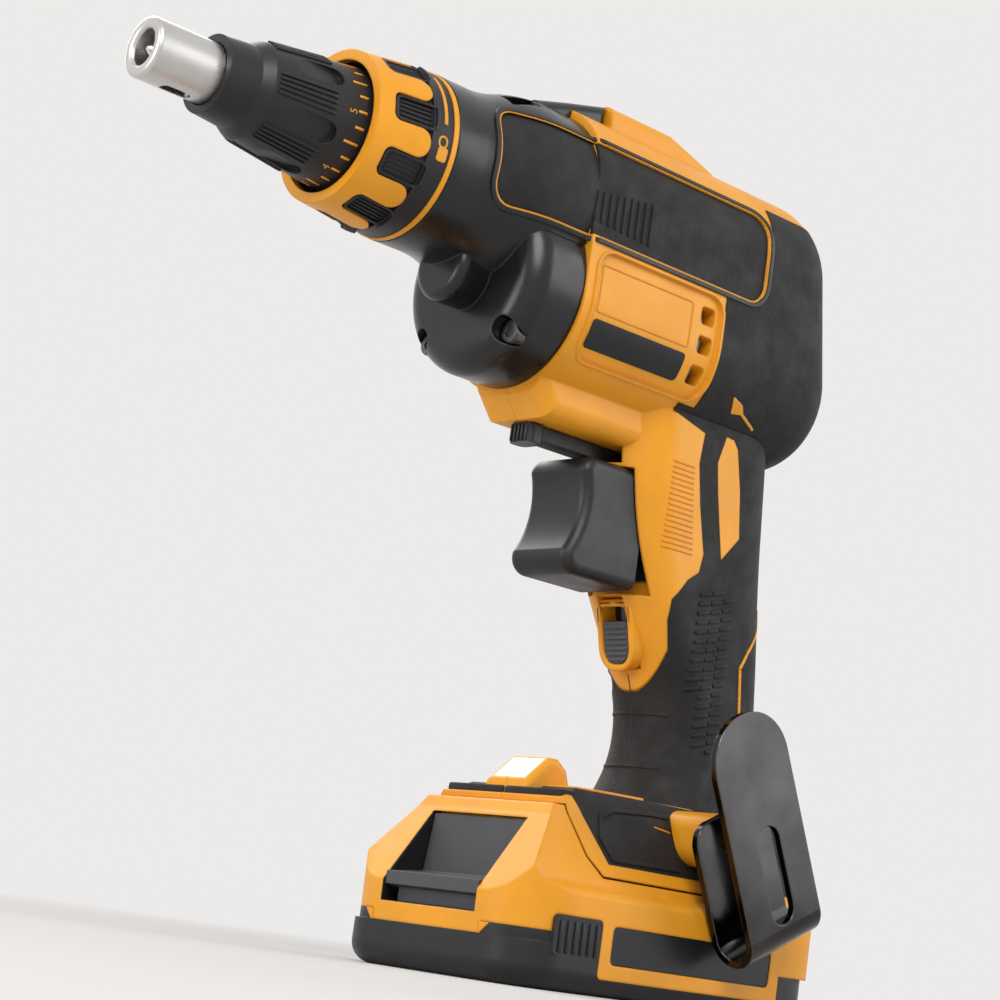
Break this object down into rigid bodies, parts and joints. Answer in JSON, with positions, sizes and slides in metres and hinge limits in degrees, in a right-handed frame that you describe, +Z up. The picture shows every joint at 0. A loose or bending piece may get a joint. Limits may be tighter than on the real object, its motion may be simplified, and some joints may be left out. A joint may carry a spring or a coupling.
{
  "type": "cordless drywall screwdriver",
  "caption": "Cordless drywall screwdriver: adjustable depth nose, lock collar, gear case, brushless motor, pistol grip with trigger, belt hook and slide battery.",
  "frame": {"origin": "middle of the battery pack's flat base", "axes": "-X towards the screw bit, +Z up, -Y on the side of the belt hook"},
  "size_m": [0.246, 0.0935, 0.2455],
  "materials": {
    "yellow_plastic": "satin moulded, fine grain",
    "black_rubber": "matte, grained",
    "black_plastic": "satin moulded",
    "grey_plastic": "satin moulded",
    "case_metal": "satin black",
    "satin_steel": "satin, turned",
    "dark_chrome": "polished black",
    "screw_steel": "blackened",
    "brass": "turned",
    "bronze": "sintered",
    "copper": "enamelled wire",
    "magnet": "plated",
    "lamination": "stacked sheet",
    "board": "solder mask",
    "cell_wrap": "plastic sleeve",
    "natural_plastic": "moulded",
    "lens": "clear",
    "led": "lit"
  },
  "bodies": {
    "tool": {"gear_case": "case_metal", "gear_case_screws": "screw_steel", "side_pad_left": "black_rubber", "side_pad_right": "black_rubber", "gear_plate": "lamination", "spindle_bush": "bronze", "motor_bearing_front": "satin_steel", "motor_bearing_rear": "satin_steel", "pinion_bush": "bronze", "spindle_bearing": "satin_steel", "stator_core": "lamination", "stator_coils": "copper", "motor_board": "board", "housing_left": "yellow_plastic", "housing_right": "yellow_plastic", "grip_left": "black_rubber", "grip_right": "black_rubber", "housing_screws": "screw_steel", "trigger_switch": "black_plastic", "control_module": "black_plastic", "terminal_block": "black_plastic", "terminal_blades": "brass", "lamp_lens": "lens", "lamp_led": "led", "hook_inserts": "brass", "belt_hook": "dark_chrome", "hook_screw": "brass"},
    "rotor": {"motor_shaft": "satin_steel", "rotor_core": "lamination", "rotor_magnets": "magnet", "cooling_fan": "black_plastic", "pinion": "satin_steel"},
    "gear": {"drive_gear": "satin_steel"},
    "spindle_carrier": {"spindle_sleeve": "satin_steel"},
    "spindle": {"spindle": "satin_steel", "bit_holder": "satin_steel", "bit": "satin_steel", "clutch_spring": "satin_steel"},
    "nose": {"nose_core": "natural_plastic"},
    "sleeve": {"depth_sleeve": "black_plastic"},
    "tip": {"nose_tip": "satin_steel"},
    "collar": {"lock_collar": "black_plastic", "collar_crown": "yellow_plastic", "collar_ring": "yellow_plastic"},
    "trigger": {"trigger": "black_plastic"},
    "lever": {"direction_lever": "black_plastic"},
    "slider": {"lock_slider": "grey_plastic"},
    "battery": {"pack_case": "yellow_plastic", "pack_tray": "black_plastic", "pack_plates": "black_plastic", "pack_screws": "screw_steel", "pack_cells": "cell_wrap", "cell_holder": "natural_plastic", "pack_board": "board", "pack_contacts": "brass", "latch_springs": "satin_steel"},
    "latch": {"pack_latch": "black_plastic"}
  },
  "joints": [
    {"name": "rotor_spin", "type": "hinge", "parent": "tool", "child": "rotor", "pos_m": [0, 0, 0.1866], "axis": [1, 0, 0], "continuous": true},
    {"name": "gear_spin", "type": "hinge", "parent": "tool", "child": "gear", "pos_m": [0, 0, 0.211], "axis": [1, 0, 0], "continuous": true},
    {"name": "spindle_turn", "type": "hinge", "parent": "tool", "child": "spindle_carrier", "pos_m": [0, 0, 0.211], "axis": [1, 0, 0], "continuous": true},
    {"name": "spindle_push", "type": "slide", "parent": "spindle_carrier", "child": "spindle", "axis": [1, 0, 0], "range_m": [0, 0.0024], "stiffness_N_per_m": 2500, "springref_m": -0.002, "deforming": ["clutch_spring"]},
    {"name": "nose_pull", "type": "slide", "parent": "tool", "child": "nose", "axis": [-1, 0, 0], "range_m": [0, 0.06]},
    {"name": "depth_turn", "type": "hinge", "parent": "nose", "child": "sleeve", "pos_m": [0, 0, 0.211], "axis": [1, 0, 0], "range_deg": [-180, 180]},
    {"name": "depth_feed", "type": "slide", "parent": "nose", "child": "tip", "axis": [-1, 0, 0], "range_m": [-0.0025, 0.0025]},
    {"name": "collar_turn", "type": "hinge", "parent": "tool", "child": "collar", "pos_m": [0, 0, 0.211], "axis": [1, 0, 0], "range_deg": [0, 40]},
    {"name": "trigger_pull", "type": "slide", "parent": "tool", "child": "trigger", "axis": [1, 0, 0], "range_m": [0, 0.007], "stiffness_N_per_m": 600, "springref_m": -0.005},
    {"name": "lever_swing", "type": "hinge", "parent": "tool", "child": "lever", "pos_m": [-0.01, 0, 0.1496], "axis": [0, 0, 1], "range_deg": [-8, 8]},
    {"name": "slider_lock", "type": "slide", "parent": "tool", "child": "slider", "axis": [-0.2631, 0, 0.9648], "range_m": [0, 0.0035]},
    {"name": "battery_slide", "type": "slide", "parent": "tool", "child": "battery", "axis": [-1, 0, 0], "range_m": [0, 0.08]},
    {"name": "latch_press", "type": "slide", "parent": "battery", "child": "latch", "axis": [0, 0, -1], "range_m": [0, 0.0035], "stiffness_N_per_m": 900, "springref_m": -0.003, "deforming": ["latch_springs"]}
  ],
  "couplings": [
    {"joint": "gear_spin", "follows": "rotor_spin", "ratio": -0.2449},
    {"joint": "depth_feed", "follows": "depth_turn", "m_per_rad": 0.00079577}
  ]
}
